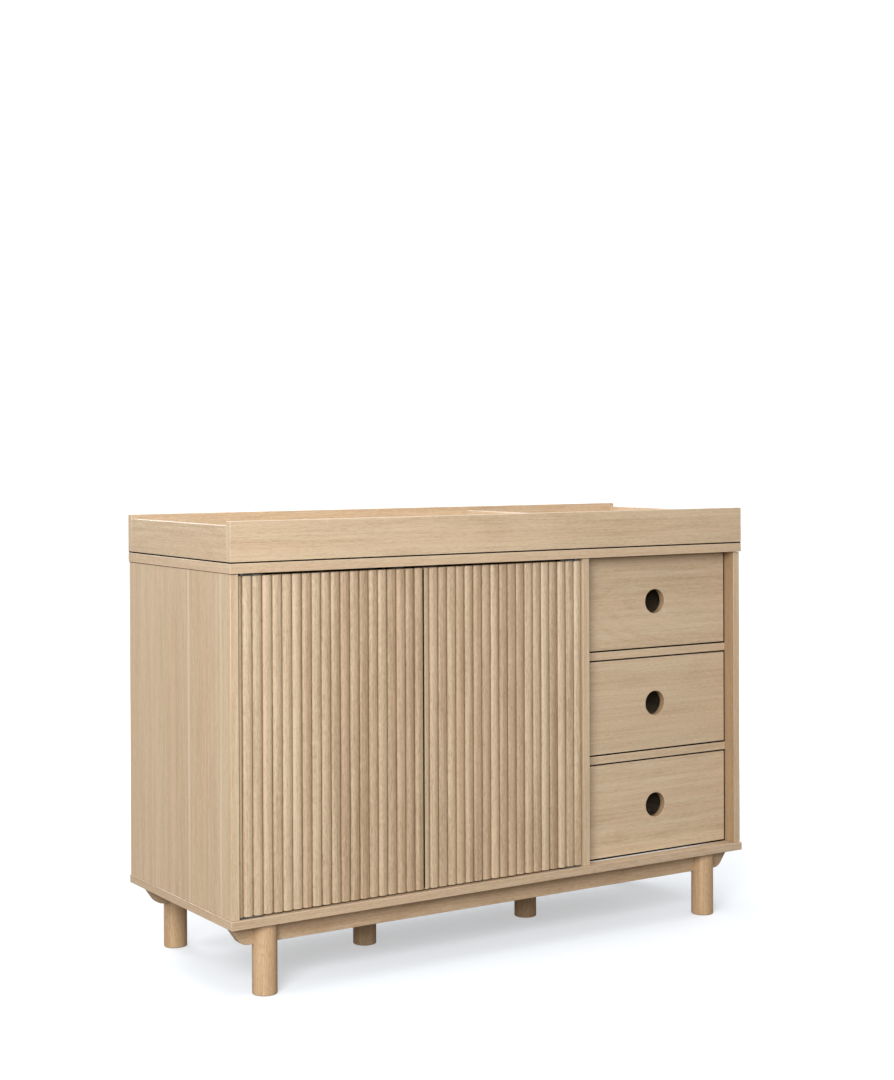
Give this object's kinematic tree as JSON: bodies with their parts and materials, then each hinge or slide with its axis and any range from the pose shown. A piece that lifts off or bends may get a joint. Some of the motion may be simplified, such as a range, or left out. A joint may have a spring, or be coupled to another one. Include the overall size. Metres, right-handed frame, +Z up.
{
  "type": "changing table",
  "caption": "Oak-veneered nursery changing table with reeded cupboard doors, drawers with round finger holes, a lift-off tray frame and round legs.",
  "frame": {"origin": "floor level, under the middle of the cabinet's outline", "axes": "+X along the front to the drawers' end, +Y from the front to the back, +Z up"},
  "size_m": [1.2, 0.45, 0.856],
  "materials": {
    "carcass_veneer": "satin oak veneer, grain upright on the sides and lengthwise on base and top",
    "tray_veneer": "satin oak veneer, grain lengthwise",
    "drawer_front_veneer": "satin oak veneer, grain across",
    "inner_veneer": "satin oak veneer",
    "door_board": "satin oak veneer, grain upright",
    "reeded_oak": "convex oak reeds, matt lacquer, tone varying from reed to reed",
    "solid_oak_legs": "solid oak, matt lacquer",
    "solid_oak_skirts": "solid oak, matt lacquer",
    "back_board": "thin fibreboard with printed face",
    "drawer_board": "pale foil-faced board",
    "zinc_steel": "zinc-plated steel",
    "runner_plastic": "hard plastic",
    "latch_plastic": "grey moulded plastic"
  },
  "bodies": {
    "cabinet": {"left_side_panel": "carcass_veneer", "right_side_panel": "carcass_veneer", "base_panel": "carcass_veneer", "top_panel": "carcass_veneer", "back_panel": "back_board", "centre_divider": "carcass_veneer", "cupboard_shelf": "inner_veneer", "front_skirt": "solid_oak_skirts", "rear_skirt": "solid_oak_skirts", "front_left_leg": "solid_oak_legs", "front_right_leg": "solid_oak_legs", "rear_left_leg": "solid_oak_legs", "rear_right_leg": "solid_oak_legs", "centre_left_leg": "solid_oak_legs", "centre_right_leg": "solid_oak_legs", "lower_drawer_rail": "drawer_front_veneer", "upper_drawer_rail": "drawer_front_veneer", "left_door_top_hinge_socket": "zinc_steel", "left_door_foot_hinge_socket": "zinc_steel", "right_door_top_hinge_socket": "zinc_steel", "right_door_foot_hinge_socket": "zinc_steel", "left_latch_body": "latch_plastic", "right_latch_body": "latch_plastic", "lower_left_runner": "runner_plastic", "lower_right_runner": "runner_plastic", "middle_left_runner": "runner_plastic", "middle_right_runner": "runner_plastic", "upper_left_runner": "runner_plastic", "upper_right_runner": "runner_plastic"},
    "left_door": {"left_door_panel": "door_board", "left_door_reeds": "reeded_oak", "left_door_top_hinge_leaf": "zinc_steel", "left_door_foot_hinge_leaf": "zinc_steel"},
    "right_door": {"right_door_panel": "door_board", "right_door_reeds": "reeded_oak", "right_door_top_hinge_leaf": "zinc_steel", "right_door_foot_hinge_leaf": "zinc_steel"},
    "left_latch_plunger": {"left_latch_plunger": "latch_plastic"},
    "right_latch_plunger": {"right_latch_plunger": "latch_plastic"},
    "lower_drawer": {"lower_drawer_front": "drawer_front_veneer", "lower_drawer_left_side": "drawer_board", "lower_drawer_right_side": "drawer_board", "lower_drawer_back": "drawer_board", "lower_drawer_bottom": "drawer_board"},
    "middle_drawer": {"middle_drawer_front": "drawer_front_veneer", "middle_drawer_left_side": "drawer_board", "middle_drawer_right_side": "drawer_board", "middle_drawer_back": "drawer_board", "middle_drawer_bottom": "drawer_board"},
    "upper_drawer": {"upper_drawer_front": "drawer_front_veneer", "upper_drawer_left_side": "drawer_board", "upper_drawer_right_side": "drawer_board", "upper_drawer_back": "drawer_board", "upper_drawer_bottom": "drawer_board"},
    "changing_tray": {"tray_front_wall": "tray_veneer", "tray_back_wall": "tray_veneer", "tray_left_wall": "tray_veneer", "tray_right_wall": "tray_veneer", "tray_divider": "tray_veneer"}
  },
  "joints": [
    {"name": "left_door_hinge", "type": "hinge", "parent": "cabinet", "child": "left_door", "pos_m": [-0.5715, -0.211, 0.149], "axis": [0, 0, -1], "range_deg": [0, 90]},
    {"name": "right_door_hinge", "type": "hinge", "parent": "cabinet", "child": "right_door", "pos_m": [0.1728, -0.211, 0.149], "axis": [0, 0, 1], "range_deg": [0, 90]},
    {"name": "left_latch_press", "type": "slide", "parent": "cabinet", "child": "left_latch_plunger", "axis": [0, 1, 0], "range_m": [0, 0.003], "stiffness_N_per_m": 300},
    {"name": "right_latch_press", "type": "slide", "parent": "cabinet", "child": "right_latch_plunger", "axis": [0, 1, 0], "range_m": [0, 0.003], "stiffness_N_per_m": 300},
    {"name": "lower_drawer_slide", "type": "slide", "parent": "cabinet", "child": "lower_drawer", "axis": [0, -1, 0], "range_m": [0, 0.28]},
    {"name": "middle_drawer_slide", "type": "slide", "parent": "cabinet", "child": "middle_drawer", "axis": [0, -1, 0], "range_m": [0, 0.28]},
    {"name": "upper_drawer_slide", "type": "slide", "parent": "cabinet", "child": "upper_drawer", "axis": [0, -1, 0], "range_m": [0, 0.28]},
    {"name": "tray_lift", "type": "slide", "parent": "cabinet", "child": "changing_tray", "axis": [0, 0, 1], "range_m": [0, 0.15]}
  ]
}
